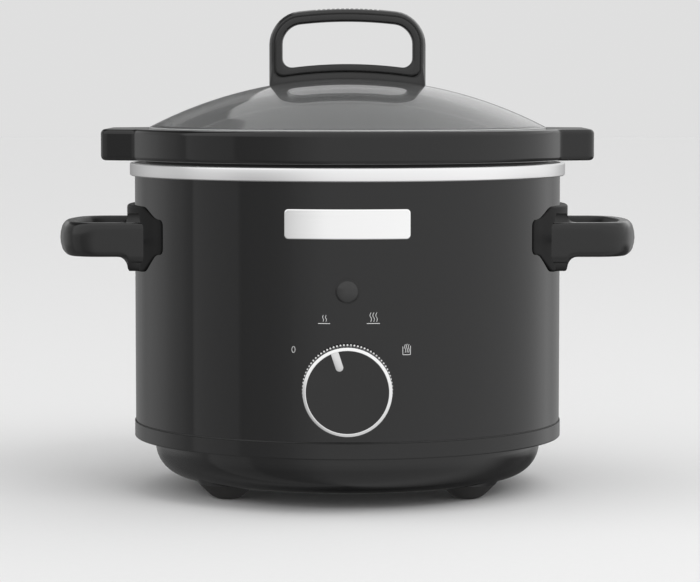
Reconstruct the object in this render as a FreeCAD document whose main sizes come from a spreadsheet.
import FreeCAD, Part
import math
import os
import Sketcher
from FreeCAD import Placement, Rotation, Vector

# A round countertop slow cooker: a heating base with a lift-out crock and a
# glass lid. Millimetres, +Z up, the pot's axis on Z and the feet on Z = 0.
# The control knob faces -Y and the two carrying handles lie along X.

doc = FreeCAD.newDocument("SlowCooker")
sheet = doc.addObject("Spreadsheet::Sheet", "Sizes")

X_AXIS = Vector(1, 0, 0)
Y_AXIS = Vector(0, 1, 0)
Z_AXIS = Vector(0, 0, 1)
QUARTER = 90
HALF_TURN = 180
FULL_TURN = 360
DEGREES = HALF_TURN / math.pi

nodes = []
rows = []


class Size:
    """A value together with the sheet expression that gives it."""

    def __init__(self, value, text):
        self.value = value
        self.text = text

    def __add__(self, other):
        return joined(self, "+", other)

    def __radd__(self, other):
        return joined(other, "+", self)

    def __sub__(self, other):
        return joined(self, "-", other)

    def __rsub__(self, other):
        return joined(other, "-", self)

    def __mul__(self, other):
        return joined(self, "*", other)

    def __rmul__(self, other):
        return joined(other, "*", self)

    def __truediv__(self, other):
        return joined(self, "/", other)

    def __neg__(self):
        return Size(-self.value, f"(0 - {self.text})")


def as_size(item):
    if isinstance(item, Size):
        return item
    return Size(float(item), repr(float(item)))


def joined(left, sign, right):
    a = as_size(left)
    b = as_size(right)
    results = {
        "+": lambda: a.value + b.value,
        "-": lambda: a.value - b.value,
        "*": lambda: a.value * b.value,
        "/": lambda: a.value / b.value,
    }
    return Size(results[sign](), f"({a.text} {sign} {b.text})")


def root(item):
    return Size(math.sqrt(item.value), f"sqrt({item.text})")


def sine(angle):
    return Size(math.sin(math.radians(angle.value)), f"sin({angle.text})")


def cosine(angle):
    return Size(math.cos(math.radians(angle.value)), f"cos({angle.text})")


def size(name, value):
    """Write one named value to the sheet."""
    rows.append(name)
    sheet.set(f"A{len(rows)}", name)
    sheet.set(f"B{len(rows)}", str(value))
    sheet.setAlias(f"B{len(rows)}", name)
    return Size(float(value), f"Sizes.{name}")


# Clearances
seat_gap = size("seat_gap", 0.3)
slip_gap = size("slip_gap", 0.2)
bond_gap = size("bond_gap", 0.08)
run_gap = size("run_gap", 0.06)

# Outer shell: a plain sheet-metal tube
shell_radius = size("shell_radius", 104.0)
shell_wall = size("shell_wall", 0.8)
shell_foot = size("shell_foot", 34.0)

# Heating well: a drawn pot whose rolled rim is the bright band
rim_overhang = size("rim_overhang", 2.1)
rim_top = size("rim_top", 159.8)
rim_drop = size("rim_drop", 6.3)
rim_round = size("rim_round", 1.9)
well_space = size("well_space", 13.5)
well_wall = size("well_wall", 1.0)
well_floor = size("well_floor", 45.0)
well_corner = size("well_corner", 28.0)
well_mouth_round = size("well_mouth_round", 2.0)

# Crock: stoneware with a rim band and two lugs
crock_gap = size("crock_gap", 1.5)
crock_floor_gap = size("crock_floor_gap", 2.0)
crock_wall = size("crock_wall", 6.5)
crock_draft = size("crock_draft", 3.0)
crock_corner = size("crock_corner", 26.0)
crock_floor = size("crock_floor", 7.0)
crock_inner_corner = size("crock_inner_corner", 22.0)
crock_lip_round = size("crock_lip_round", 5.0)
band_overhang = size("band_overhang", 4.4)
band_lift = size("band_lift", 1.5)
band_height = size("band_height", 15.0)
band_round = size("band_round", 2.2)
seat_ring_inset = size("seat_ring_inset", 9.8)
seat_ring_width = size("seat_ring_width", 3.4)
lid_recess_depth = size("lid_recess_depth", 4.3)
lid_recess_wall = size("lid_recess_wall", 10.6)
lug_project = size("lug_project", 10.3)
lug_half_width = size("lug_half_width", 31.1)
lug_taper = size("lug_taper", 25.0)
lug_corner = size("lug_corner", 6.0)
lug_root = size("lug_root", 10.0)
lug_blend = size("lug_blend", 4.0)

# Glass lid
dome_rise = size("dome_rise", 28.6)
dome_crown = size("dome_crown", 23.745)
glass_wall = size("glass_wall", 4.5)
lid_edge_gap = size("lid_edge_gap", 0.8)
lid_bead = size("lid_bead", 5.0)
lid_hole = size("lid_hole", 4.0)
lid_edge_round = size("lid_edge_round", 1.2)

# Lid handle: an upright loop on the glass
grip_half_width = size("grip_half_width", 38.2)
grip_rise = size("grip_rise", 34.1)
grip_crown = size("grip_crown", 200.0)
grip_corner = size("grip_corner", 14.0)
grip_depth = size("grip_depth", 16.0)
grip_round = size("grip_round", 2.8)
eye_half_width = size("eye_half_width", 31.8)
eye_top_bar = size("eye_top_bar", 6.4)
eye_foot_bar = size("eye_foot_bar", 7.0)
eye_corner = size("eye_corner", 7.5)
bezel_width = size("bezel_width", 3.0)
bezel_proud = size("bezel_proud", 0.5)
rib_count = size("rib_count", 22)
rib_step = size("rib_step", 0.72)
rib_groove = size("rib_groove", 0.5)
rib_groove_width = size("rib_groove_width", 1.1)
rib_length = size("rib_length", 9.0)
lid_screw_radius = size("lid_screw_radius", 2.0)
lid_screw_length = size("lid_screw_length", 10.0)
lid_screw_head = size("lid_screw_head", 4.6)
lid_screw_head_height = size("lid_screw_head_height", 2.6)
lid_screw_drive = size("lid_screw_drive", 1.0)
lid_washer_radius = size("lid_washer_radius", 7.5)
lid_washer_height = size("lid_washer_height", 1.5)
spigot_radius = size("spigot_radius", 3.6)

# Base pan with its lip and bowl, and the feet
lip_proud = size("lip_proud", 0.5)
lip_height = size("lip_height", 8.0)
lip_edge = size("lip_edge", 0.6)
spigot_rise = size("spigot_rise", 7.0)
pan_wall = size("pan_wall", 2.5)
bowl_inset = size("bowl_inset", 9.7)
bowl_corner = size("bowl_corner", 15.0)
pan_floor = size("pan_floor", 7.2)
nut_recess_radius = size("nut_recess_radius", 15.0)
nut_recess_depth = size("nut_recess_depth", 6.0)
nut_recess_slope = size("nut_recess_slope", 2.0)
foot_inset = size("foot_inset", 31.6)
foot_angle = size("foot_angle", 37.4)
foot_tip_radius = size("foot_tip_radius", 4.0)
foot_tip_round = size("foot_tip_round", 9.0)
foot_top_radius = size("foot_top_radius", 13.6)
foot_pod_rise = size("foot_pod_rise", 4.6)
foot_pod_flare = size("foot_pod_flare", 3.6)
foot_stem_radius = size("foot_stem_radius", 4.0)
foot_stem_bulge = size("foot_stem_bulge", 0.9)
foot_stem_rise = size("foot_stem_rise", 3.0)

# Carrying handles
handle_drop = size("handle_drop", 35.8)
handle_project = size("handle_project", 36.5)
loop_half_span = size("loop_half_span", 41.0)
loop_bar = size("loop_bar", 10.0)
loop_tall = size("loop_tall", 16.8)
loop_arch = size("loop_arch", 110.0)
loop_corner_share = size("loop_corner_share", 0.357)
loop_corner_step = size("loop_corner_step", 9.0)
loop_round_share = size("loop_round_share", 0.44)
loop_root = size("loop_root", 1.5)
root_round_share = size("root_round_share", 0.21)
plate_thick = size("plate_thick", 3.8)
plate_margin = size("plate_margin", 8.1)
plate_round = size("plate_round", 1.4)
plate_tip_tall = size("plate_tip_tall", 17.0)
plate_shoulder_in = size("plate_shoulder_in", 1.0)
plate_waist_run = size("plate_waist_run", 12.5)
plate_tip_run = size("plate_tip_run", 5.5)
handle_screw_span = size("handle_screw_span", 35.58)
handle_screw_radius = size("handle_screw_radius", 2.0)
handle_screw_bite = size("handle_screw_bite", 10.0)
handle_screw_head = size("handle_screw_head", 3.6)
handle_screw_head_height = size("handle_screw_head_height", 2.4)

# Badge plate
badge_width = size("badge_width", 58.0)
badge_height = size("badge_height", 13.6)
badge_drop = size("badge_drop", 25.6)
badge_thick = size("badge_thick", 0.9)
badge_corner = size("badge_corner", 1.8)

# Indicator lamp
lamp_drop = size("lamp_drop", 56.2)
lamp_bezel_radius = size("lamp_bezel_radius", 5.7)
lamp_bezel_proud = size("lamp_bezel_proud", 1.0)
lamp_lens_radius = size("lamp_lens_radius", 4.8)
lamp_lens_proud = size("lamp_lens_proud", 1.3)
lamp_lens_crown = size("lamp_lens_crown", 16.0)
lamp_barrel_radius = size("lamp_barrel_radius", 4.3)
lamp_barrel_length = size("lamp_barrel_length", 7.0)
lamp_bore = size("lamp_bore", 2.9)
lamp_clip_radius = size("lamp_clip_radius", 6.6)
lamp_clip_height = size("lamp_clip_height", 1.6)
neon_radius = size("neon_radius", 2.6)
neon_length = size("neon_length", 5.0)

# Control knob
knob_rise = size("knob_rise", 25.0)
knob_radius = size("knob_radius", 20.5)
knob_back = size("knob_back", 1.4)
knob_front = size("knob_front", 17.8)
knob_rest_angle = size("knob_rest_angle", 18.0)
ring_face_width = size("ring_face_width", 1.7)
ring_edge = size("ring_edge", 0.6)
knurl_count = size("knurl_count", 76)
knurl_depth = size("knurl_depth", 0.5)
knurl_width = size("knurl_width", 1.1)
face_sink = size("face_sink", 0.4)
face_thick = size("face_thick", 3.0)
skirt_wall = size("skirt_wall", 2.0)
hub_radius = size("hub_radius", 6.5)
hub_back = size("hub_back", 3.4)
pointer_width = size("pointer_width", 3.5)
pointer_inner = size("pointer_inner", 10.8)
pointer_thick = size("pointer_thick", 1.2)
pointer_proud = size("pointer_proud", 0.25)

# Selector switch behind the knob
shaft_radius = size("shaft_radius", 3.0)
shaft_front = size("shaft_front", 12.5)
switch_radius = size("switch_radius", 12.0)
switch_front = size("switch_front", 2.2)
switch_depth = size("switch_depth", 8.2)
switch_wall = size("switch_wall", 1.4)
switch_cover_wall = size("switch_cover_wall", 1.2)
neck_radius = size("neck_radius", 5.0)
neck_front = size("neck_front", 2.8)
shoulder_radius = size("shoulder_radius", 7.0)
nut_across = size("nut_across", 14.0)
nut_height = size("nut_height", 2.2)
rotor_radius = size("rotor_radius", 9.0)
rotor_gap = size("rotor_gap", 0.5)
tab_width = size("tab_width", 3.2)
tab_thick = size("tab_thick", 0.8)
tab_length = size("tab_length", 6.0)
tab_spread = size("tab_spread", 6.5)

# Heater round the well
heater_rise = size("heater_rise", 35.0)
heater_tall = size("heater_tall", 42.0)
heater_thick = size("heater_thick", 1.4)
strap_thick = size("strap_thick", 0.8)
heater_gap_angle = size("heater_gap_angle", 14.0)
strap_ear = size("strap_ear", 6.0)
strap_ear_tall = size("strap_ear_tall", 20.0)
clamp_radius = size("clamp_radius", 1.6)
clamp_head = size("clamp_head", 3.0)
clamp_head_height = size("clamp_head_height", 2.0)
clamp_out = size("clamp_out", 3.2)
clamp_tail = size("clamp_tail", 4.0)
clamp_nut_across = size("clamp_nut_across", 5.5)
clamp_nut_height = size("clamp_nut_height", 2.2)
bead_width = size("bead_width", 5.0)
bead_cover = size("bead_cover", 2.0)
bead_length = size("bead_length", 7.0)

# Tie stud through the base
stud_radius = size("stud_radius", 3.0)
stud_flange_radius = size("stud_flange_radius", 8.0)
stud_flange_height = size("stud_flange_height", 2.0)
stud_end = size("stud_end", 4.6)
tie_washer_radius = size("tie_washer_radius", 9.0)
tie_washer_height = size("tie_washer_height", 1.2)
tie_nut_across = size("tie_nut_across", 10.0)
tie_nut_height = size("tie_nut_height", 5.0)
earth_tag_radius = size("earth_tag_radius", 6.5)
earth_tag_thick = size("earth_tag_thick", 0.8)
earth_tag_length = size("earth_tag_length", 16.0)
earth_nut_height = size("earth_nut_height", 3.2)

# Thermal fuse under the well
fuse_radius = size("fuse_radius", 2.0)
fuse_length = size("fuse_length", 12.0)
fuse_offset = size("fuse_offset", 34.0)
fuse_lead_radius = size("fuse_lead_radius", 0.5)
fuse_lead_length = size("fuse_lead_length", 9.0)
clip_wall = size("clip_wall", 0.8)
clip_width = size("clip_width", 6.0)
clip_wing = size("clip_wing", 5.0)

# Terminal block, internal leads and cord inlet
block_width = size("block_width", 30.0)
block_depth = size("block_depth", 14.0)
block_tall = size("block_tall", 14.0)
block_back = size("block_back", 58.0)
block_hole = size("block_hole", 1.7)
block_screw_radius = size("block_screw_radius", 1.5)
block_screw_head = size("block_screw_head", 2.6)
block_screw_head_height = size("block_screw_head_height", 1.4)
lead_radius = size("lead_radius", 1.1)
lead_height = size("lead_height", 19.0)
lead_rise_inset = size("lead_rise_inset", 5.4)
lead_bend = size("lead_bend", 9.0)
lead_end = size("lead_end", 1.0)
lead_bury = size("lead_bury", 5.0)
lamp_lead_spread = size("lamp_lead_spread", 2.0)
inlet_rise = size("inlet_rise", 18.0)
inlet_bore = size("inlet_bore", 3.6)
inlet_radius = size("inlet_radius", 6.4)
inlet_flange = size("inlet_flange", 9.5)
inlet_flange_height = size("inlet_flange_height", 3.0)
inlet_nose = size("inlet_nose", 16.0)
inlet_nose_radius = size("inlet_nose_radius", 5.6)
inlet_tail = size("inlet_tail", 7.0)
inlet_nut_across = size("inlet_nut_across", 18.0)
inlet_nut_height = size("inlet_nut_height", 3.0)

doc.recompute()

# Sizes that follow from the ones above
shell_inner = shell_radius - shell_wall
shell_top = rim_top - well_wall
rim_radius = shell_radius + rim_overhang
well_radius = shell_radius - well_space
well_outer = well_radius + well_wall
well_under = well_floor - well_wall
crock_mouth = well_radius - crock_gap
crock_bottom = well_floor + crock_floor_gap
crock_inside = crock_mouth - crock_wall
crock_foot_radius = crock_mouth - crock_draft
crock_inner_foot = crock_inside - crock_draft
crock_inner_floor = crock_bottom + crock_floor
band_radius = shell_radius + band_overhang
seat_ring_radius = band_radius - seat_ring_inset
lug_reach = band_radius + lug_project
band_bottom = rim_top + band_lift
band_top = band_bottom + band_height
lid_seat = band_top - lid_recess_depth
lid_recess = band_radius - lid_recess_wall
lid_radius = lid_recess - lid_edge_gap
dome_top = lid_seat + dome_rise
dome_radius = (lid_radius * lid_radius + dome_crown * dome_crown) / (2 * dome_crown)
dome_centre = dome_top - dome_radius
dome_inner = dome_radius - glass_wall
grip_top = dome_top + grip_rise
lip_radius = shell_radius + lip_proud
lip_bottom = shell_foot - lip_height
bowl_radius = shell_radius - bowl_inset
foot_pitch_radius = shell_radius - foot_inset
pan_inner_floor = pan_floor + pan_wall
handle_height = rim_top - handle_drop
handle_reach = shell_radius + handle_project
finger_gap = handle_project - seat_gap - plate_thick - loop_bar
loop_inner_corner = finger_gap * loop_corner_share
loop_corner = loop_inner_corner + loop_corner_step
loop_round = loop_bar * loop_round_share
root_round = finger_gap * root_round_share
plate_tall = loop_tall + 2 * plate_margin
plate_shoulder = loop_half_span - plate_shoulder_in
plate_waist = plate_shoulder + plate_waist_run
plate_half_span = plate_waist + plate_tip_run
handle_screw_angle = DEGREES * handle_screw_span / shell_radius
badge_middle = rim_top - badge_drop
lamp_height = rim_top - lamp_drop
knob_height = shell_foot + knob_rise
knob_bore = knob_radius - ring_face_width
heater_foot = well_floor + heater_rise
inlet_height = shell_foot + inlet_rise


def dome_height(radius):
    """Height of the glass's outer face at a distance from the axis."""
    return dome_centre + root(dome_radius * dome_radius - radius * radius)


def dome_under(radius):
    """Height of the glass's inner face at a distance from the axis."""
    return dome_centre + root(dome_inner * dome_inner - radius * radius)


def new_body(name):
    body = doc.addObject("PartDesign::Body", name)
    body.Label = name
    return body


def origin_plane(body, role):
    for feature in body.Origin.OriginFeatures:
        if feature.Role == role:
            return feature
    raise ValueError(f"no plane {role}")


def new_sketch(body, role, lift=None, shift=None, turn=None):
    """A sketch on one of the body's own planes, lifted, shifted or turned."""
    sketch = body.newObject("Sketcher::SketchObject", f"{body.Name}_sketch")
    sketch.AttachmentSupport = [(origin_plane(body, role), "")]
    sketch.MapMode = "FlatFace"
    sketch.AttachmentOffset = Placement(Vector(0, 0, 0), Rotation(Z_AXIS, 1 if turn else 0))
    if lift is not None:
        sketch.setExpression("AttachmentOffset.Base.z", lift.text)
    if shift is not None:
        sketch.setExpression("AttachmentOffset.Base.x", as_size(shift[0]).text)
        sketch.setExpression("AttachmentOffset.Base.y", as_size(shift[1]).text)
    if turn is not None:
        sketch.setExpression("AttachmentOffset.Rotation.Angle", turn.text)
    return sketch


def hold(sketch, kind, geometry, position, amount, axis):
    """Tie one coordinate of a point to its size, or to the axis where it is nought."""
    if amount.text == "0.0":
        sketch.addConstraint(Sketcher.Constraint("PointOnObject", geometry, position, axis))
        return
    index = sketch.addConstraint(
        Sketcher.Constraint(kind, -1, 1, geometry, position, amount.value)
    )
    sketch.setExpression(f"Constraints[{index}]", amount.text)


def arc_centre(start, end, radius, turn):
    """Centre of the smaller arc between two points; turn 1 is anticlockwise."""
    chord = end - start
    half = chord.Length / 2
    rise = math.sqrt(max(radius * radius - half * half, 0))
    side = Vector(-chord.y, chord.x, 0).normalize() * turn
    return start + chord / 2 + side * rise


def draw_loop(sketch, corners, closed=True):
    """An outline. A corner is (x, y), or (x, y, radius, turn) where an arc ends."""
    count = len(corners)
    places = [Vector(as_size(c[0]).value, as_size(c[1]).value, 0) for c in corners]
    edges = []
    spans = count if closed else count - 1
    for k in range(spans):
        start = places[k]
        end = places[(k + 1) % count]
        target = corners[(k + 1) % count]
        if len(target) == 2:
            index = sketch.addGeometry(Part.LineSegment(start, end))
            edges.append((index, 1, 2))
            continue
        radius = as_size(target[2])
        turn = target[3]
        centre = arc_centre(start, end, radius.value, turn)
        first = start if turn > 0 else end
        last = end if turn > 0 else start
        begin = math.atan2(first.y - centre.y, first.x - centre.x)
        finish = math.atan2(last.y - centre.y, last.x - centre.x)
        circle = Part.Circle(centre, Z_AXIS, radius.value)
        index = sketch.addGeometry(Part.ArcOfCircle(circle, begin, finish))
        edges.append((index, 1, 2) if turn > 0 else (index, 2, 1))
    for k in range(spans if closed else spans - 1):
        here = edges[k]
        after = edges[(k + 1) % count]
        sketch.addConstraint(
            Sketcher.Constraint("Coincident", here[0], here[2], after[0], after[1])
        )
    for k in range(spans):
        index, begin, finish = edges[k]
        hold(sketch, "DistanceX", index, begin, as_size(corners[k][0]), -2)
        hold(sketch, "DistanceY", index, begin, as_size(corners[k][1]), -1)
        target = corners[(k + 1) % count]
        if len(target) == 4:
            radius = as_size(target[2])
            tie = sketch.addConstraint(Sketcher.Constraint("Radius", index, radius.value))
            sketch.setExpression(f"Constraints[{tie}]", radius.text)
    if not closed:
        index, begin, finish = edges[-1]
        hold(sketch, "DistanceX", index, finish, as_size(corners[-1][0]), -2)
        hold(sketch, "DistanceY", index, finish, as_size(corners[-1][1]), -1)
    return len(edges)


def draw_circle(sketch, radius, x=0, y=0):
    across = as_size(x)
    along = as_size(y)
    circle = Part.Circle(Vector(across.value, along.value, 0), Z_AXIS, radius.value)
    index = sketch.addGeometry(circle)
    hold(sketch, "DistanceX", index, 3, across, -2)
    hold(sketch, "DistanceY", index, 3, along, -1)
    tie = sketch.addConstraint(Sketcher.Constraint("Radius", index, radius.value))
    sketch.setExpression(f"Constraints[{tie}]", radius.text)


def draw_hexagon(sketch, across):
    """A hexagon with two corners on the sketch's X axis."""
    reach = across / root(as_size(3))
    half = reach / 2
    flat = across / 2
    draw_loop(
        sketch,
        [(reach, 0), (half, flat), (-half, flat), (-reach, 0), (-half, -flat), (half, -flat)],
    )


def pad(body, sketch, length, symmetric=False, reverse=False):
    feature = body.newObject("PartDesign::Pad", f"{body.Name}_pad")
    feature.Profile = sketch
    feature.setExpression("Length", length.text)
    feature.SideType = "Symmetric" if symmetric else "One side"
    feature.Reversed = reverse
    body.Tip = feature
    doc.recompute()
    return feature


def pocket(body, sketch, length, symmetric=False, reverse=False):
    """Cut a sketch into the body, and see that it removes something."""
    before = body.Shape.Volume
    feature = body.newObject("PartDesign::Pocket", f"{body.Name}_pocket")
    feature.Profile = sketch
    feature.setExpression("Length", length.text)
    feature.SideType = "Symmetric" if symmetric else "One side"
    feature.Reversed = reverse
    body.Tip = feature
    doc.recompute()
    if not feature.Shape.Volume < before:
        raise ValueError(f"a cut in {body.Label} removes nothing")
    return feature


def revolve(body, corners, sweep=None, role="XZ_Plane"):
    """Turn an outline of (radius, height) corners about the body's upright axis."""
    sketch = new_sketch(body, role)
    draw_loop(sketch, corners)
    feature = body.newObject("PartDesign::Revolution", f"{body.Name}_turned")
    feature.Profile = sketch
    feature.ReferenceAxis = (sketch, ["V_Axis"])
    feature.Angle = FULL_TURN
    if sweep is not None:
        feature.Midplane = True
        feature.setExpression("Angle", sweep.text)
    body.Tip = feature
    doc.recompute()
    return feature


def fillet(body, base, radius, wanted):
    """Round the edges that a test picks by their shape."""
    names = []
    for index, edge in enumerate(base.Shape.Edges):
        if wanted(edge):
            names.append(f"Edge{index + 1}")
    if not names:
        raise ValueError(f"no edge to round in {body.Label}")
    feature = body.newObject("PartDesign::Fillet", f"{body.Name}_round")
    feature.Base = (base, names)
    feature.setExpression("Radius", radius.text)
    body.Tip = feature
    doc.recompute()
    return feature


def place(item, x=0, y=0, z=0, axis=Z_AXIS, angle=0):
    """Put an object at a place that follows the sheet."""
    turn = as_size(angle)
    item.Placement = Placement(Vector(0, 0, 0), Rotation(axis, turn.value))
    for name, amount in (("x", x), ("y", y), ("z", z)):
        item.setExpression(f"Placement.Base.{name}", as_size(amount).text)
    if isinstance(angle, Size):
        item.setExpression("Placement.Rotation.Angle", angle.text)
    return item


def face_front(item, height, turn=QUARTER):
    """Stand a piece on the front of the shell, its own +Z towards -Y."""
    return place(item, 0, -shell_radius, height, X_AXIS, turn)


def cylinder(name, radius, height):
    item = doc.addObject("Part::Cylinder", name)
    item.setExpression("Radius", radius.text)
    item.setExpression("Height", height.text)
    return item


def box(name, length, width, height):
    item = doc.addObject("Part::Box", name)
    item.setExpression("Length", length.text)
    item.setExpression("Width", width.text)
    item.setExpression("Height", height.text)
    return item


def sphere(name, radius):
    item = doc.addObject("Part::Sphere", name)
    item.setExpression("Radius", radius.text)
    return item


def cut(name, base, tools):
    """Take tools away from a base."""
    tool = tools[0]
    if len(tools) > 1:
        tool = fuse(f"{name}_tools", tools)
    item = doc.addObject("Part::Cut", name)
    item.Base = base
    item.Tool = tool
    item.Label = name
    return item


def fuse(name, items):
    item = doc.addObject("Part::MultiFuse", name)
    item.Shapes = items
    item.Label = name
    return item


def group(name, items):
    """Several like pieces in one node, each its own solid."""
    item = doc.addObject("Part::Compound", name)
    item.Links = items
    item.Label = name
    return item


def along_radius(item, angle, inner, height):
    """Lay a cylinder along a spoke, from a distance to the axis outwards."""
    item.Placement = Placement(Vector(0, 0, 0), Rotation(Y_AXIS, QUARTER))
    item.setExpression("Placement.Base.x", (inner * cosine(angle)).text)
    item.setExpression("Placement.Base.y", (inner * sine(angle)).text)
    item.setExpression("Placement.Base.z", height.text)
    item.setExpression("Placement.Rotation.Axis.x", (-sine(angle)).text)
    item.setExpression("Placement.Rotation.Axis.y", cosine(angle).text)
    return item


def keep(item):
    nodes.append(item)
    return item


def arch_corner(half_width, arch, arch_centre, corner, inside):
    """Where a round corner leaves an upright side and meets an arch tangentially.

    Returns the height at which it leaves the side, and the point on the arch.
    inside is 1 for an arch that closes over the corner and -1 for one under it.
    """
    across = half_width - corner
    reach = arch - corner if inside > 0 else arch + corner
    rise = root(reach * reach - across * across)
    side_height = arch_centre + rise
    touch_x = across * arch / reach
    touch_y = arch_centre + rise * arch / reach
    return side_height, touch_x, touch_y


# Heating well and rim

heating_well = keep(new_body("heating_well"))
rim_inner = rim_radius - well_wall
rim_roll = well_wall / 2
rim_bottom = rim_top - rim_drop + rim_roll
revolve(
    heating_well,
    [
        (0, well_under),
        (well_radius - well_corner, well_under),
        (well_outer, well_floor + well_corner, well_corner + well_wall, 1),
        (well_outer, rim_top - well_mouth_round),
        (well_radius + well_mouth_round, shell_top, well_mouth_round - well_wall, -1),
        (rim_radius - rim_round, shell_top),
        (rim_inner, rim_top - rim_round, rim_round - well_wall, -1),
        (rim_inner, rim_bottom),
        (rim_inner + rim_roll, rim_bottom - rim_roll, rim_roll, 1),
        (rim_radius, rim_bottom, rim_roll, 1),
        (rim_radius, rim_top - rim_round),
        (rim_radius - rim_round, rim_top, rim_round, 1),
        (well_radius + well_mouth_round, rim_top),
        (well_radius, rim_top - well_mouth_round, well_mouth_round, 1),
        (well_radius, well_floor + well_corner),
        (well_radius - well_corner, well_floor, well_corner, -1),
        (0, well_floor),
    ],
)

# Crock with its rim band and lugs

crock = keep(new_body("crock"))
mouth_round = well_mouth_round + crock_gap
mouth_centre = rim_top - well_mouth_round
seat_ring_inner = seat_ring_radius - seat_ring_width
crock_turned = revolve(
    crock,
    [
        (0, crock_bottom),
        (crock_foot_radius - crock_corner, crock_bottom),
        (crock_foot_radius, crock_bottom + crock_corner, crock_corner, 1),
        (crock_mouth, mouth_centre),
        (crock_mouth + mouth_round, mouth_centre + mouth_round, mouth_round, -1),
        (seat_ring_inner, mouth_centre + mouth_round),
        (seat_ring_inner, rim_top),
        (seat_ring_radius, rim_top),
        (seat_ring_radius, band_bottom),
        (band_radius, band_bottom),
        (band_radius, band_top),
        (lid_recess, band_top),
        (lid_recess, lid_seat),
        (crock_inside + crock_lip_round, lid_seat),
        (crock_inside, lid_seat - crock_lip_round, crock_lip_round, 1),
        (crock_inner_foot, crock_inner_floor + crock_inner_corner),
        (crock_inner_foot - crock_inner_corner, crock_inner_floor, crock_inner_corner, -1),
        (0, crock_inner_floor),
    ],
)
lug_sketch = new_sketch(crock, "XY_Plane", lift=band_bottom)
lug_inner = band_radius - lug_root
lug_side_end = lug_reach - lug_corner * (1 - sine(lug_taper))
lug_tip_half = lug_half_width - lug_corner * cosine(lug_taper)
lug_side_run = lug_side_end - lug_inner
lug_root_half = lug_half_width + lug_side_run * sine(lug_taper) / cosine(lug_taper)
for side in (1, -1):
    draw_loop(
        lug_sketch,
        [
            (side * lug_inner, -side * lug_root_half),
            (side * lug_side_end, -side * lug_half_width),
            (side * lug_reach, -side * lug_tip_half, lug_corner, 1),
            (side * lug_reach, side * lug_tip_half),
            (side * lug_side_end, side * lug_half_width, lug_corner, 1),
            (side * lug_inner, side * lug_root_half),
        ],
    )
lugs = pad(crock, lug_sketch, band_height)


def on_band_edge(edge):
    """The outer edges of the rim band and lugs, above and below."""
    bounds = edge.BoundBox
    flat = bounds.ZLength < seat_gap.value
    level = min(abs(bounds.ZMin - band_top.value), abs(bounds.ZMin - band_bottom.value))
    middle = edge.valueAt((edge.FirstParameter + edge.LastParameter) / 2)
    reach = math.hypot(middle.x, middle.y)
    return flat and level < seat_gap.value and reach > band_radius.value - seat_gap.value


def on_lug_root(edge):
    """The upright edges where a lug's sides leave the band."""
    bounds = edge.BoundBox
    upright = bounds.XLength < seat_gap.value and bounds.ZLength > band_height.value / 2
    reach = math.hypot(bounds.XMax, bounds.YMax)
    return upright and abs(reach - band_radius.value) < seat_gap.value and bounds.YMax**2 > 1


lugs_blended = fillet(crock, lugs, lug_blend, on_lug_root)
fillet(crock, lugs_blended, band_round, on_band_edge)

# Glass lid

lid_glass = keep(new_body("lid_glass"))
bead_inner = lid_radius - lid_bead
glass_turned = revolve(
    lid_glass,
    [
        (lid_hole, dome_under(lid_hole)),
        (bead_inner, dome_under(bead_inner), dome_inner, -1),
        (bead_inner, lid_seat),
        (lid_radius, lid_seat),
        (lid_radius, dome_height(lid_radius)),
        (lid_hole, dome_height(lid_hole), dome_radius, 1),
    ],
)


def on_lid_edge(edge):
    bounds = edge.BoundBox
    level = abs(bounds.ZMin - dome_height(lid_radius).value)
    return level < seat_gap.value and bounds.XMax > lid_radius.value - seat_gap.value


fillet(lid_glass, glass_turned, lid_edge_round, on_lid_edge)

# Lid handle

grip_body = new_body("lid_grip_block")
grip_foot = dome_height(grip_half_width) - grip_round
crown_centre = grip_top - grip_crown


def eye_loop(spread):
    """The handle's opening, or the same shape grown outwards by a spread."""
    half = eye_half_width + spread
    corner = eye_corner + spread
    crown = grip_crown - eye_top_bar + spread
    sill = dome_radius + eye_foot_bar - spread
    high, high_x, high_y = arch_corner(half, crown, crown_centre, corner, 1)
    low, low_x, low_y = arch_corner(half, sill, dome_centre, corner, -1)
    return [
        (half, low),
        (half, high),
        (high_x, high_y, corner, 1),
        (-high_x, high_y, crown, 1),
        (-half, high, corner, 1),
        (-half, low),
        (-low_x, low_y, corner, 1),
        (low_x, low_y, sill, -1),
        (half, low, corner, 1),
    ][:-1], corner


def draw_eye(sketch, spread):
    loop, corner = eye_loop(spread)
    first = loop[0]
    draw_loop(sketch, [(first[0], first[1], corner, 1)] + loop[1:])


grip_sketch = new_sketch(grip_body, "XZ_Plane")
top_side, top_x, top_y = arch_corner(grip_half_width, grip_crown, crown_centre, grip_corner, 1)
draw_loop(
    grip_sketch,
    [
        (-grip_half_width, grip_foot),
        (grip_half_width, grip_foot),
        (grip_half_width, top_side),
        (top_x, top_y, grip_corner, 1),
        (-top_x, top_y, grip_crown, 1),
        (-grip_half_width, top_side, grip_corner, 1),
    ],
)
draw_eye(grip_sketch, as_size(0))
grip_pad = pad(grip_body, grip_sketch, grip_depth, symmetric=True)


def on_grip_edge(edge):
    """The outer outline of the handle's two faces, above its foot."""
    bounds = edge.BoundBox
    on_face = bounds.YLength < seat_gap.value and bounds.YMax * bounds.YMin > 0
    middle = edge.valueAt((edge.FirstParameter + edge.LastParameter) / 2)
    outer = abs(middle.x) > eye_half_width.value + seat_gap.value
    over = middle.z > grip_top.value - eye_top_bar.value / 2
    foot = bounds.ZMax < grip_foot.value + seat_gap.value
    return on_face and (outer or over) and not foot


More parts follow.
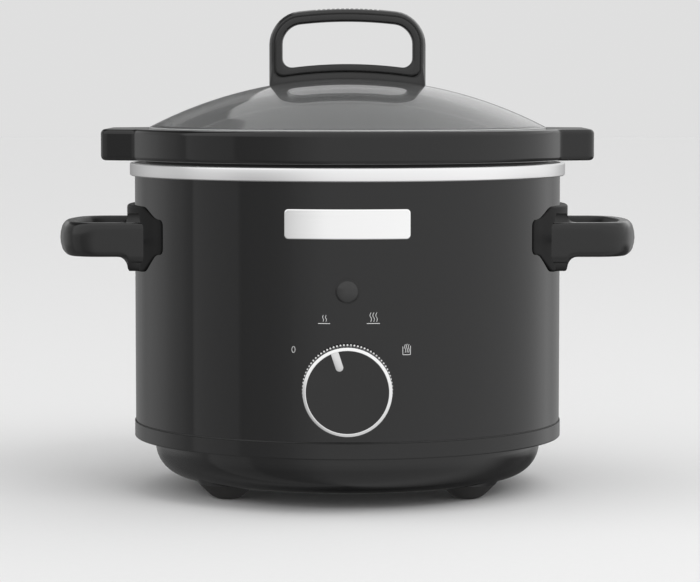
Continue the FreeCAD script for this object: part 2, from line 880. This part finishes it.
grip_rounded = fillet(grip_body, grip_pad, grip_round, on_grip_edge)
bezel_sketch = new_sketch(grip_body, "XZ_Plane")
draw_eye(bezel_sketch, bezel_width)
draw_eye(bezel_sketch, as_size(0))
pad(grip_body, bezel_sketch, grip_depth + 2 * bezel_proud, symmetric=True)
rib_turn = rib_step * (rib_count - 1) / 2
rib_sketch = new_sketch(grip_body, "XZ_Plane", shift=(0, crown_centre), turn=rib_turn)
rib_half = rib_groove_width / 2
draw_loop(
    rib_sketch,
    [
        (-rib_half, grip_crown - rib_groove),
        (rib_half, grip_crown - rib_groove),
        (rib_half, grip_crown + rib_groove),
        (-rib_half, grip_crown + rib_groove),
    ],
)
rib_cut = pocket(grip_body, rib_sketch, rib_length, symmetric=True)
ribs = grip_body.newObject("PartDesign::PolarPattern", "grip_ribs")
ribs.Originals = [rib_cut]
ribs.Axis = (rib_sketch, ["N_Axis"])
ribs.Reversed = True
ribs.setExpression("Angle", (rib_step * (rib_count - 1)).text)
ribs.setExpression("Occurrences", rib_count.text)
grip_body.Tip = ribs
doc.recompute()

grip_seat = sphere("grip_seat", dome_radius + bond_gap)
place(grip_seat, z=dome_centre)
grip_on_dome = cut("grip_on_dome", grip_body, [grip_seat])
washer_top = dome_under(lid_washer_radius) - bond_gap
spigot_foot = dome_under(lid_hole) + bond_gap
spigot = cylinder("grip_spigot", spigot_radius, dome_top + eye_foot_bar / 2 - spigot_foot)
place(spigot, z=spigot_foot)
grip_with_spigot = fuse("grip_with_spigot", [grip_on_dome, spigot])
pilot = cylinder("grip_pilot", lid_screw_radius + bond_gap, lid_screw_length)
place(pilot, z=washer_top - lid_washer_height)
lid_handle = keep(cut("lid_handle", grip_with_spigot, [pilot]))

lid_washer = keep(new_body("lid_washer"))
washer_sketch = new_sketch(lid_washer, "XY_Plane", lift=washer_top - lid_washer_height)
draw_circle(washer_sketch, lid_washer_radius)
draw_circle(washer_sketch, lid_screw_radius + slip_gap)
pad(lid_washer, washer_sketch, lid_washer_height)

screw_seat = washer_top - lid_washer_height
screw_head = cylinder("lid_screw_cap", lid_screw_head, lid_screw_head_height)
place(screw_head, z=screw_seat - lid_screw_head_height)
screw_shank = cylinder("lid_screw_shank", lid_screw_radius, lid_screw_length - slip_gap)
place(screw_shank, z=screw_seat)
screw_blank = fuse("lid_screw_blank", [screw_head, screw_shank])
drives = []
for name, along, across in (
    ("lid_drive_x", lid_screw_head, lid_screw_drive),
    ("lid_drive_y", lid_screw_drive, lid_screw_head),
):
    bar = box(name, along, across, lid_screw_head_height)
    place(bar, -along / 2, -across / 2, screw_seat - 1.5 * lid_screw_head_height)
    drives.append(bar)
lid_screw = keep(cut("lid_screw", screw_blank, drives))

# Outer shell with its openings

shell_height = shell_top - shell_foot
shell_outside = cylinder("shell_outside", shell_radius, shell_height)
place(shell_outside, z=shell_foot)
shell_inside = cylinder("shell_inside", shell_inner, shell_height)
place(shell_inside, z=shell_foot)
shell_cuts = [shell_inside]
through = 2 * rim_round + shell_wall
for name, radius, height in (
    ("shell_neck_hole", neck_radius + slip_gap, knob_height),
    ("shell_lamp_hole", lamp_barrel_radius + slip_gap, lamp_height),
):
    hole = cylinder(name, radius, through)
    place(hole, 0, through / 2 - shell_radius, height, X_AXIS, QUARTER)
    shell_cuts.append(hole)
inlet_hole = cylinder("shell_inlet_hole", inlet_radius + slip_gap, through)
place(inlet_hole, 0, shell_radius - through / 2, inlet_height, X_AXIS, -QUARTER)
shell_cuts.append(inlet_hole)
screw_angles = [
    handle_screw_angle,
    -handle_screw_angle,
    HALF_TURN - handle_screw_angle,
    HALF_TURN + handle_screw_angle,
]
for index, angle in enumerate(screw_angles):
    hole = cylinder(f"shell_screw_hole_{index}", handle_screw_radius + slip_gap, through)
    along_radius(hole, angle, shell_radius - through / 2, handle_height)
    shell_cuts.append(hole)
outer_shell = keep(cut("outer_shell", shell_outside, shell_cuts))

# Base pan: lip, bowl and a spigot that centres the shell

pan_body = new_body("base_pan_bowl")
spigot_outer = shell_inner - seat_gap
spigot_inner = spigot_outer - pan_wall
bowl_centre = pan_floor + bowl_corner
recess_floor = pan_floor + nut_recess_depth
stud_hole = stud_radius + slip_gap
revolve(
    pan_body,
    [
        (stud_hole, recess_floor),
        (nut_recess_radius, recess_floor),
        (nut_recess_radius + nut_recess_slope, pan_floor),
        (bowl_radius - bowl_corner, pan_floor),
        (bowl_radius, bowl_centre, bowl_corner, 1),
        (bowl_radius, lip_bottom),
        (lip_radius - lip_edge, lip_bottom),
        (lip_radius, lip_bottom + lip_edge, lip_edge, 1),
        (lip_radius, shell_foot - lip_edge),
        (lip_radius - lip_edge, shell_foot),
        (spigot_outer, shell_foot),
        (spigot_outer, shell_foot + spigot_rise),
        (spigot_inner, shell_foot + spigot_rise),
        (spigot_inner, lip_bottom + pan_wall),
        (bowl_radius - pan_wall, lip_bottom + pan_wall),
        (bowl_radius - pan_wall, bowl_centre),
        (bowl_radius - bowl_corner, pan_inner_floor, bowl_corner - pan_wall, -1),
        (nut_recess_radius + nut_recess_slope + pan_wall, pan_inner_floor),
        (nut_recess_radius + pan_wall, recess_floor + pan_wall),
        (stud_hole, recess_floor + pan_wall),
    ],
)
foot_places = []
foot_x = foot_pitch_radius * cosine(foot_angle)
foot_y = foot_pitch_radius * sine(foot_angle)
for name, across, along in (
    ("foot_front_left", -1, -1),
    ("foot_front_right", 1, -1),
    ("foot_rear_left", -1, 1),
    ("foot_rear_right", 1, 1),
):
    foot_places.append((name, across * foot_x, along * foot_y))
pods = []
stem_holes = []
for name, across, along in foot_places:
    pod = doc.addObject("Part::Cone", f"{name}_pod")
    pod.setExpression("Radius1", foot_top_radius.text)
    pod.setExpression("Radius2", (foot_top_radius + foot_pod_flare).text)
    pod.setExpression("Height", foot_pod_rise.text)
    place(pod, across, along, pan_floor)
    pods.append(pod)
    hole = cylinder(f"{name}_hole", foot_stem_radius + bond_gap, foot_pod_rise + pan_wall)
    place(hole, across, along, pan_floor)
    stem_holes.append(hole)
pan_with_pods = fuse("base_pan_with_pods", [pan_body] + pods)
base_pan = keep(cut("base_pan", pan_with_pods, stem_holes))

# Rubber feet: a rounded cone with a push-in stem

foot_stem_top = pan_floor + foot_pod_rise
for name, across, along in foot_places:
    foot = keep(new_body(name))
    revolve(
        foot,
        [
            (0, 0),
            (foot_tip_radius, 0),
            (foot_tip_radius + foot_tip_round / 2, foot_tip_round / 4, foot_tip_round, 1),
            (foot_top_radius, pan_floor),
            (foot_stem_radius, pan_floor),
            (foot_stem_radius, foot_stem_top + bond_gap),
            (foot_stem_radius + foot_stem_bulge, foot_stem_top + bond_gap),
            (foot_stem_radius, foot_stem_top + foot_stem_rise),
            (0, foot_stem_top + foot_stem_rise),
        ],
    )
    place(foot, across, along)

# Tie stud, welded under the well and nutted under the pan

stud = keep(new_body("tie_stud"))
revolve(
    stud,
    [
        (0, stud_end),
        (stud_radius, stud_end),
        (stud_radius, well_under - stud_flange_height),
        (stud_flange_radius, well_under - stud_flange_height),
        (stud_flange_radius, well_under),
        (0, well_under),
    ],
)


def ring_plate(name, outer, bore, foot, height):
    """A flat ring such as a washer."""
    body = keep(new_body(name))
    sketch = new_sketch(body, "XY_Plane", lift=foot)
    draw_circle(sketch, outer)
    draw_circle(sketch, bore)
    pad(body, sketch, height)
    return body


def hex_nut(name, across, bore, foot, height):
    body = keep(new_body(name))
    sketch = new_sketch(body, "XY_Plane", lift=foot)
    draw_hexagon(sketch, across)
    draw_circle(sketch, bore)
    pad(body, sketch, height)
    return body


stud_bore = stud_radius + bond_gap
tie_washer_foot = recess_floor - tie_washer_height
ring_plate("tie_washer", tie_washer_radius, stud_bore, tie_washer_foot, tie_washer_height)
tie_nut_foot = tie_washer_foot - tie_nut_height
hex_nut("tie_nut", tie_nut_across, stud_bore, tie_nut_foot, tie_nut_height)

earth_tag = keep(new_body("earth_tag"))
tag_top = well_under - stud_flange_height
tag_sketch = new_sketch(earth_tag, "XY_Plane", lift=tag_top - earth_tag_thick)
draw_circle(tag_sketch, earth_tag_radius)
draw_circle(tag_sketch, stud_bore)
pad(earth_tag, tag_sketch, earth_tag_thick)
tail_sketch = new_sketch(earth_tag, "XY_Plane", lift=tag_top - earth_tag_thick)
draw_loop(
    tail_sketch,
    [
        (stud_radius + tab_width / 2, -tab_width / 2),
        (earth_tag_length, -tab_width / 2),
        (earth_tag_length, tab_width / 2),
        (stud_radius + tab_width / 2, tab_width / 2),
    ],
)
pad(earth_tag, tail_sketch, earth_tag_thick)
earth_nut_foot = tag_top - earth_tag_thick - earth_nut_height
hex_nut("earth_nut", tie_nut_across, stud_bore, earth_nut_foot, earth_nut_height)

# Carrying handles, one moulding each side

shell_seat = shell_radius + seat_gap
plate_outer = shell_seat + plate_thick


def middle_of(edge):
    return edge.valueAt((edge.FirstParameter + edge.LastParameter) / 2)


def off_plate(edge):
    """How far an edge's middle stands out from the mounting plate's face."""
    middle = middle_of(edge)
    return math.hypot(middle.x, middle.y) - plate_outer.value


def side_handle(name, heading):
    """A mounting plate that follows the shell, with a finger loop."""
    blank = new_body(f"{name}_blank")
    half = plate_tall / 2
    low = handle_height - half
    high = handle_height + half
    reach_angle = 2 * DEGREES * plate_half_span / shell_radius
    revolve(
        blank,
        [(shell_seat, low), (plate_outer, low), (plate_outer, high), (shell_seat, high)],
        sweep=reach_angle,
    )
    trim = new_sketch(blank, "YZ_Plane")
    tip = plate_tip_tall / 2
    beyond = plate_half_span + plate_thick
    below = low - plate_thick
    above = high + plate_thick
    draw_loop(
        trim,
        [(-beyond, below), (beyond, below), (beyond, above), (-beyond, above)],
    )
    draw_loop(
        trim,
        [
            (-plate_half_span, handle_height - tip),
            (-plate_waist, handle_height - tip),
            (-plate_shoulder, low),
            (plate_shoulder, low),
            (plate_waist, handle_height - tip),
            (plate_half_span, handle_height - tip),
            (plate_half_span, handle_height + tip),
            (plate_waist, handle_height + tip),
            (plate_shoulder, high),
            (-plate_shoulder, high),
            (-plate_waist, handle_height + tip),
            (-plate_half_span, handle_height + tip),
        ],
    )
    pocket(blank, trim, handle_reach, reverse=True)

    sketch = new_sketch(blank, "XY_Plane", lift=handle_height)
    arch_middle = handle_reach - loop_arch
    outer_side, outer_y, outer_x = arch_corner(
        loop_half_span, loop_arch, arch_middle, loop_corner, 1
    )
    inner_span = loop_half_span - loop_bar
    inner_arch = loop_arch - loop_bar
    inner_side, inner_y, inner_x = arch_corner(
        inner_span, inner_arch, arch_middle, loop_inner_corner, 1
    )
    inner_root = root(shell_seat * shell_seat - inner_span * inner_span) + loop_root
    outer_root = root(shell_seat * shell_seat - loop_half_span * loop_half_span) + loop_root
    draw_loop(
        sketch,
        [
            (outer_root, -loop_half_span),
            (outer_side, -loop_half_span),
            (outer_x, -outer_y, loop_corner, 1),
            (outer_x, outer_y, loop_arch, 1),
            (outer_side, loop_half_span, loop_corner, 1),
            (outer_root, loop_half_span),
            (inner_root, inner_span),
            (inner_side, inner_span),
            (inner_x, inner_y, loop_inner_corner, -1),
            (inner_x, -inner_y, inner_arch, -1),
            (inner_side, -inner_span, loop_inner_corner, -1),
            (inner_root, -inner_span),
        ],
    )
    looped = pad(blank, sketch, loop_tall, symmetric=True)

    def on_loop(edge):
        return edge.BoundBox.ZLength < bond_gap.value and off_plate(edge) > bond_gap.value

    rounded = fillet(blank, looped, loop_round, on_loop)

    def on_root(edge):
        middle = middle_of(edge)
        near = abs(off_plate(edge)) < bond_gap.value
        inside = abs(middle.z - handle_height.value) < loop_tall.value / 2 + bond_gap.value
        wide = abs(middle.y) < loop_half_span.value + bond_gap.value
        return near and inside and wide

    rooted = fillet(blank, rounded, root_round, on_root)

    def on_plate_edge(edge):
        bounds = edge.BoundBox
        near = abs(off_plate(edge)) < bond_gap.value
        rise = max(abs(bounds.ZMin - handle_height.value), abs(bounds.ZMax - handle_height.value))
        outline = rise > half.value - bond_gap.value
        tip_end = abs(middle_of(edge).y) > plate_waist.value
        return near and (outline or tip_end)

    fillet(blank, rooted, plate_round, on_plate_edge)
    pilots = []
    for index, angle in enumerate((handle_screw_angle, -handle_screw_angle)):
        bite = cylinder(
            f"{name}_pilot_{index}",
            handle_screw_radius + bond_gap,
            handle_screw_bite + seat_gap + slip_gap,
        )
        along_radius(bite, angle, shell_radius, handle_height)
        pilots.append(bite)
    handle = keep(cut(name, blank, pilots))
    place(handle, angle=heading)


side_handle("right_handle", 0)
side_handle("left_handle", HALF_TURN)

handle_screws = []
for index, angle in enumerate(screw_angles):
    shank = cylinder(
        f"handle_shank_{index}",
        handle_screw_radius,
        shell_wall + bond_gap + handle_screw_bite,
    )
    along_radius(shank, angle, shell_inner - bond_gap, handle_height)
    head = cylinder(f"handle_head_{index}", handle_screw_head, handle_screw_head_height)
    along_radius(head, angle, shell_inner - bond_gap - handle_screw_head_height, handle_height)
    handle_screws.append(fuse(f"handle_screw_{index}", [head, shank]))
keep(group("handle_screws", handle_screws))

# Badge plate, curved to the shell

badge = keep(new_body("badge_plate"))
badge_back = shell_radius + bond_gap
badge_turned = revolve(
    badge,
    [
        (badge_back, badge_middle - badge_height / 2),
        (badge_back + badge_thick, badge_middle - badge_height / 2),
        (badge_back + badge_thick, badge_middle + badge_height / 2),
        (badge_back, badge_middle + badge_height / 2),
    ],
    sweep=DEGREES * badge_width / shell_radius,
)


def on_badge_corner(edge):
    bounds = edge.BoundBox
    return bounds.ZLength < bond_gap.value and edge.Length < 2 * badge_thick.value


fillet(badge, badge_turned, badge_corner, on_badge_corner)
place(badge, angle=-QUARTER)

# Indicator lamp: bezel, lens, clip and neon

lamp_seat = bond_gap
lamp_bezel = face_front(keep(new_body("lamp_bezel")), lamp_height)
revolve(
    lamp_bezel,
    [
        (lamp_barrel_radius + slip_gap, lamp_seat),
        (lamp_bezel_radius, lamp_seat),
        (lamp_bezel_radius, lamp_seat + lamp_bezel_proud / 2),
        (lamp_lens_radius + bond_gap, lamp_seat + lamp_bezel_proud),
        (lamp_lens_radius + bond_gap, lamp_seat + lamp_bezel_proud / 2),
        (lamp_barrel_radius + slip_gap, lamp_seat + lamp_bezel_proud / 2),
    ],
)
lamp_lens = face_front(keep(new_body("lamp_lens")), lamp_height)
lens_back = lamp_seat + lamp_bezel_proud / 2
lens_root = root(
    lamp_lens_crown * lamp_lens_crown - lamp_lens_radius * lamp_lens_radius
)
revolve(
    lamp_lens,
    [
        (lamp_bore, -lamp_barrel_length),
        (lamp_barrel_radius, -lamp_barrel_length),
        (lamp_barrel_radius, lens_back),
        (lamp_lens_radius, lens_back),
        (lamp_lens_radius, lamp_lens_proud),
        (0, lamp_lens_proud + lamp_lens_crown - lens_root, lamp_lens_crown, 1),
        (0, 0),
        (lamp_bore, 0),
    ],
)
lamp_clip = face_front(keep(new_body("lamp_clip")), lamp_height)
clip_front = root(shell_inner * shell_inner - lamp_clip_radius * lamp_clip_radius)
clip_sketch = new_sketch(lamp_clip, "XY_Plane", lift=clip_front - shell_radius)
draw_circle(clip_sketch, lamp_clip_radius)
draw_circle(clip_sketch, lamp_barrel_radius + bond_gap)
pad(lamp_clip, clip_sketch, lamp_clip_height, reverse=True)
neon = face_front(keep(new_body("neon_lamp")), lamp_height)
revolve(
    neon,
    [
        (0, -bond_gap),
        (neon_radius, -bond_gap),
        (neon_radius, -neon_length),
        (neon_radius / 2, -neon_length - neon_radius / 2, neon_radius / 2, -1),
        (0, -neon_length - neon_radius / 2),
    ],
)

# Control knob: knurled ring, black face with hub, pointer

ring = face_front(keep(new_body("knob_ring")), knob_height)
ring_turned = revolve(
    ring,
    [
        (knob_bore, knob_back),
        (knob_radius, knob_back),
        (knob_radius, knob_front - ring_edge),
        (knob_radius - ring_edge, knob_front),
        (knob_bore, knob_front),
    ],
)
knurl_sketch = new_sketch(ring, "XY_Plane", lift=knob_back)
draw_loop(
    knurl_sketch,
    [
        (0, knob_radius - knurl_depth),
        (knurl_width / 2, knob_radius + knurl_depth / 2),
        (-knurl_width / 2, knob_radius + knurl_depth / 2),
    ],
)
knurl_length = knob_front - knob_back - 2 * ring_edge
knurl_cut = pocket(ring, knurl_sketch, knurl_length, reverse=True)
knurl = ring.newObject("PartDesign::PolarPattern", "ring_knurl")
knurl.Originals = [knurl_cut]
knurl.Axis = (knurl_sketch, ["N_Axis"])
knurl.Angle = FULL_TURN
knurl.setExpression("Occurrences", knurl_count.text)
ring.Tip = knurl
doc.recompute()

face_front_height = knob_front - face_sink
face_radius = knob_bore - bond_gap
cap = face_front(keep(new_body("knob_cap")), knob_height)
cap_turned = revolve(
    cap,
    [
        (0, shaft_front + slip_gap),
        (shaft_radius + bond_gap, shaft_front + slip_gap),
        (shaft_radius + bond_gap, hub_back),
        (hub_radius, hub_back),
        (hub_radius, face_front_height - face_thick),
        (face_radius - skirt_wall, face_front_height - face_thick),
        (face_radius - skirt_wall, knob_back),
        (face_radius, knob_back),
        (face_radius, face_front_height),
        (0, face_front_height),
    ],
)


def draw_pointer(sketch, spread):
    """A bar with a round inner end, out to the knob's ring."""
    half = pointer_width / 2 + spread
    outer = root(face_radius * face_radius - pointer_width * pointer_width) + spread
    inner = pointer_inner + pointer_width / 2
    draw_loop(
        sketch,
        [
            (half, outer),
            (-half, outer),
            (-half, inner),
            (0, inner - half, half, 1),
            (half, inner, half, 1),
        ],
    )


slot_sketch = new_sketch(cap, "XY_Plane", lift=face_front_height, turn=knob_rest_angle)
draw_pointer(slot_sketch, bond_gap)
pocket(cap, slot_sketch, pointer_thick)
pointer = face_front(keep(new_body("knob_pointer")), knob_height)
pointer_sketch = new_sketch(
    pointer, "XY_Plane", lift=face_front_height + pointer_proud, turn=knob_rest_angle
)
draw_pointer(pointer_sketch, as_size(0))
pad(pointer, pointer_sketch, pointer_thick + pointer_proud - bond_gap, reverse=True)

# Selector switch: housing with a threaded neck, cover, rotor and shaft, nut, tabs

switch_back = switch_front + switch_depth
cavity_radius = switch_radius - switch_wall
shoulder_front = shell_radius - root(
    shell_inner * shell_inner - shoulder_radius * shoulder_radius
)
housing_body = face_front(new_body("switch_housing_blank"), knob_height)
shaft_hole = shaft_radius + run_gap
revolve(
    housing_body,
    [
        (shaft_hole, -switch_front - switch_wall),
        (cavity_radius, -switch_front - switch_wall),
        (cavity_radius, -switch_back),
        (switch_radius, -switch_back),
        (switch_radius, -switch_front),
        (shoulder_radius, -switch_front),
        (shoulder_radius, -shoulder_front),
        (neck_radius, -shoulder_front),
        (neck_radius, neck_front),
        (shaft_hole, neck_front),
    ],
)
tab_slots = []
tabs = []
tab_level = switch_front + switch_depth / 2
for name, across, up in (
    ("tab_line", 1, -1),
    ("tab_neutral", -1, -1),
    ("tab_high", 1, 1),
    ("tab_low", -1, 1),
):
    reach = root(switch_radius * switch_radius - tab_spread * tab_spread)
    start = reach - switch_wall - rotor_gap
    length = tab_length + switch_wall + rotor_gap
    blade = box(f"switch_{name}", tab_width, tab_thick, length)
    base = knob_height + up * start
    if up < 0:
        base = base - length
    place(
        blade,
        across * tab_spread - tab_width / 2,
        tab_level - tab_thick / 2 - shell_radius,
        base,
    )
    tabs.append(blade)
    slot = box(
        f"switch_slot_{name}",
        tab_width + 2 * bond_gap,
        tab_thick + 2 * bond_gap,
        length,
    )
    place(
        slot,
        across * tab_spread - tab_width / 2 - bond_gap,
        tab_level - tab_thick / 2 - bond_gap - shell_radius,
        base,
    )
    tab_slots.append(slot)
keep(cut("switch_housing", housing_body, tab_slots))
keep(group("switch_tabs", tabs))

cover = face_front(keep(new_body("switch_cover")), knob_height)
cover_sketch = new_sketch(cover, "XY_Plane", lift=-switch_back)
draw_circle(cover_sketch, switch_radius)
pad(cover, cover_sketch, switch_cover_wall, reverse=True)

shaft = face_front(keep(new_body("switch_shaft")), knob_height)
rotor_back = switch_back - rotor_gap
rotor_front = switch_front + switch_wall + rotor_gap
revolve(
    shaft,
    [
        (0, -rotor_back),
        (rotor_radius, -rotor_back),
        (rotor_radius, -rotor_front),
        (shaft_radius, -rotor_front),
        (shaft_radius, shaft_front),
        (0, shaft_front),
    ],
)

switch_nut = face_front(hex_nut(
    "switch_nut", nut_across, neck_radius + bond_gap, bond_gap, nut_height
), knob_height)

# Heater: a mat round the well, drawn tight by a strap and clamp screw

heater_inner = well_outer + bond_gap
heater_outer = heater_inner + heater_thick
strap_inner = heater_outer + bond_gap
strap_outer = strap_inner + strap_thick
heater_sweep = FULL_TURN - heater_gap_angle


def split_band(name, inner, outer, foot, height):
    """A band round the well, open at the back."""
    body = new_body(name)
    revolve(
        body,
        [(inner, foot), (outer, foot), (outer, foot + height), (inner, foot + height)],
        sweep=heater_sweep,
    )
    place(body, angle=-QUARTER)
    return body


keep(split_band("heater_mat", heater_inner, heater_outer, heater_foot, heater_tall))
strap_tall = heater_tall / 2
strap_foot = heater_foot + heater_tall / 4
strap_band = split_band("heater_strap_band", strap_inner, strap_outer, strap_foot, strap_tall)
ear_x = strap_outer * sine(heater_gap_angle / 2)
ear_back = strap_inner * cosine(heater_gap_angle / 2)
clamp_height = heater_foot + heater_tall / 2
clamp_y = strap_outer + clamp_out
ears = []
ear_holes = []
for name, across in (("right", 1), ("left", -1)):
    ear = box(f"strap_ear_{name}", strap_thick, strap_ear + strap_thick, strap_ear_tall)
    place(
        ear,
        across * ear_x - strap_thick / 2 + across * strap_thick / 2,
        ear_back,
        clamp_height - strap_ear_tall / 2,
    )
    ears.append(ear)
    hole = cylinder(f"strap_ear_hole_{name}", clamp_radius + slip_gap, 4 * strap_thick)
    place(hole, across * ear_x - 2 * strap_thick, clamp_y, clamp_height, Y_AXIS, QUARTER)
    ear_holes.append(hole)
strap_fused = fuse("heater_strap_fused", [strap_band] + ears)
keep(cut("heater_strap", strap_fused, ear_holes))
ear_face = ear_x + strap_thick
clamp_shank = cylinder("clamp_shank", clamp_radius, 2 * ear_face + clamp_tail)
place(clamp_shank, -ear_face, clamp_y, clamp_height, Y_AXIS, QUARTER)
clamp_cap = cylinder("clamp_cap", clamp_head, clamp_head_height)
place(clamp_cap, -ear_face - clamp_head_height, clamp_y, clamp_height, Y_AXIS, QUARTER)
keep(fuse("clamp_screw", [clamp_cap, clamp_shank]))
clamp_nut = hex_nut(
    "clamp_nut", clamp_nut_across, clamp_radius + bond_gap, as_size(0), clamp_nut_height
)
place(clamp_nut, ear_face, clamp_y, clamp_height, Y_AXIS, QUARTER)

# Ceramic beads where the heater's leads leave the mat

lane_y = tab_level - shell_radius
bead_back = heater_outer + bond_gap
bead_depth = bead_cover - lane_y - bead_back
beads = []
for name, across in (("high", 1), ("low", -1)):
    bead = box(f"heater_bead_{name}", bead_width, bead_depth, bead_length)
    place(
        bead,
        across * tab_spread - bead_width / 2,
        lane_y - bead_cover,
        heater_foot,
    )
    beads.append(bead)
keep(group("heater_beads", beads))

# Thermal fuse and its clip under the well

fuse_height = well_under - clip_wall - fuse_radius - bond_gap
fuse_can = cylinder("fuse_can", fuse_radius, fuse_length)
place(fuse_can, fuse_offset, fuse_length / 2, fuse_height, X_AXIS, QUARTER)
fuse_tail_length = fuse_length + 2 * fuse_lead_length
fuse_tails = cylinder("fuse_tails", fuse_lead_radius, fuse_tail_length)
place(fuse_tails, fuse_offset, fuse_tail_length / 2, fuse_height, X_AXIS, QUARTER)
keep(fuse("thermal_fuse", [fuse_can, fuse_tails]))
fuse_clip = keep(new_body("fuse_clip"))
clip_sketch = new_sketch(fuse_clip, "XZ_Plane")
clip_inner = fuse_radius + bond_gap
clip_outer = clip_inner + clip_wall
wing = clip_outer + clip_wing
draw_loop(
    clip_sketch,
    [
        (fuse_offset + clip_outer, fuse_height, clip_outer, 1),
        (fuse_offset + clip_outer, well_under - clip_wall),
        (fuse_offset + wing, well_under - clip_wall),
        (fuse_offset + wing, well_under),
        (fuse_offset - wing, well_under),
        (fuse_offset - wing, well_under - clip_wall),
        (fuse_offset - clip_outer, well_under - clip_wall),
        (fuse_offset - clip_outer, fuse_height),
        (fuse_offset, fuse_height - clip_outer, clip_outer, 1),
    ],
)
draw_circle(clip_sketch, clip_inner, fuse_offset, fuse_height)
pad(fuse_clip, clip_sketch, clip_width, symmetric=True)

# Terminal block on the pan's floor

block_top = pan_inner_floor + block_tall
block_front = block_back - block_depth
block_blank = box("block_blank", block_width, block_depth, block_tall)
place(block_blank, -block_width / 2, block_front, pan_inner_floor)
block_cuts = []
block_screws = []
block_screw_depth = block_top - lead_height - lead_radius - slip_gap
for name, across in (("right", 1), ("left", -1)):
    way = cylinder(f"block_way_{name}", block_hole, block_depth)
    place(way, across * tab_spread, block_back, lead_height, X_AXIS, QUARTER)
    block_cuts.append(way)
    thread = cylinder(
        f"block_thread_{name}", block_screw_radius + bond_gap, block_top - lead_height
    )
    place(thread, across * tab_spread, block_back - block_depth / 2, lead_height)
    block_cuts.append(thread)
    shank = cylinder(f"block_shank_{name}", block_screw_radius, block_screw_depth)
    place(
        shank,
        across * tab_spread,
        block_back - block_depth / 2,
        block_top - block_screw_depth,
    )
    head = cylinder(f"block_head_{name}", block_screw_head, block_screw_head_height)
    place(head, across * tab_spread, block_back - block_depth / 2, block_top)
    block_screws.append(fuse(f"block_screw_{name}", [shank, head]))
keep(cut("terminal_block", block_blank, block_cuts))
keep(group("block_screws", block_screws))

# Leads: block to switch, switch to heater, switch to lamp

tab_reach = root(switch_radius * switch_radius - tab_spread * tab_spread) + tab_length
tab_low_end = knob_height - tab_reach
tab_high_end = knob_height + tab_reach
rise_y = bowl_radius - pan_wall - lead_rise_inset
swan = (-lane_y - rise_y) / 2
swan_start = tab_low_end - lead_end - 2 * swan
feeds = []
for name, across in (("right", 1), ("left", -1)):
    feed = new_body(f"feed_lead_{name}")
    spine = new_sketch(feed, "YZ_Plane", lift=across * tab_spread)
    start_y = block_front + lead_bury
    spans = draw_loop(
        spine,
        [
            (start_y, lead_height),
            (lead_bend - rise_y, lead_height),
            (-rise_y, lead_height + lead_bend, lead_bend, -1),
            (-rise_y, swan_start),
            (-rise_y - swan, swan_start + swan, swan, 1),
            (lane_y, swan_start + 2 * swan, swan, -1),
            (lane_y, tab_low_end),
        ],
        closed=False,
    )
    section = new_sketch(feed, "XZ_Plane", lift=-start_y)
    draw_circle(section, lead_radius, across * tab_spread, lead_height)
    run = feed.newObject("PartDesign::AdditivePipe", f"{feed.Name}_run")
    run.Profile = section
    run.Spine = (spine, [f"Edge{k + 1}" for k in range(spans)])
    feed.Tip = run
    feeds.append(feed)
doc.recompute()
keep(group("feed_leads", feeds))

heater_leads = []
for name, across in (("high", 1), ("low", -1)):
    lead = cylinder(f"heater_lead_{name}", lead_radius, heater_foot - tab_high_end)
    place(lead, across * tab_spread, lane_y, tab_high_end)
    heater_leads.append(lead)
keep(group("heater_leads", heater_leads))

near_edge = lamp_lead_spread - lead_radius
lamp_lead_top = (
    lamp_height
    - root(lamp_barrel_radius * lamp_barrel_radius - near_edge * near_edge)
    - bond_gap
)
lamp_lead_foot = (
    knob_height + root(switch_radius * switch_radius - near_edge * near_edge) + bond_gap
)
lamp_leads = []
for name, across in (("right", 1), ("left", -1)):
    lead = cylinder(f"lamp_lead_{name}", lead_radius, lamp_lead_top - lamp_lead_foot)
    place(lead, across * lamp_lead_spread, lane_y, lamp_lead_foot)
    lamp_leads.append(lead)
keep(group("lamp_leads", lamp_leads))

# Cord inlet at the back, with its nut inside the shell

inlet = keep(new_body("cord_inlet"))
revolve(
    inlet,
    [
        (inlet_bore, -inlet_tail),
        (inlet_radius, -inlet_tail),
        (inlet_radius, bond_gap),
        (inlet_flange, bond_gap),
        (inlet_flange, bond_gap + inlet_flange_height),
        (inlet_radius, bond_gap + inlet_flange_height),
        (inlet_nose_radius, inlet_nose),
        (inlet_bore, inlet_nose),
    ],
)
place(inlet, 0, shell_radius, inlet_height, X_AXIS, -QUARTER)
inlet_nut_corner = inlet_nut_across / root(as_size(3))
inlet_nut_front = (
    root(shell_inner * shell_inner - inlet_nut_corner * inlet_nut_corner)
    - shell_radius
    - bond_gap
)
inlet_nut = hex_nut(
    "inlet_nut",
    inlet_nut_across,
    inlet_radius + bond_gap,
    inlet_nut_front - inlet_nut_height,
    inlet_nut_height,
)
place(inlet_nut, 0, shell_radius, inlet_height, X_AXIS, -QUARTER)

# Check every piece, then write one file for each

doc.recompute()
for item in doc.Objects:
    if "Invalid" in item.State or "Error" in item.State:
        raise ValueError(f"{item.Label} did not build: {item.State}")
for node in nodes:
    if node.Shape.isNull() or not node.Shape.isValid():
        raise ValueError(f"{node.Label} has no valid shape")
os.makedirs("parts", exist_ok=True)
for node in nodes:
    node.Shape.exportStep(f"parts/{node.Label}.step")
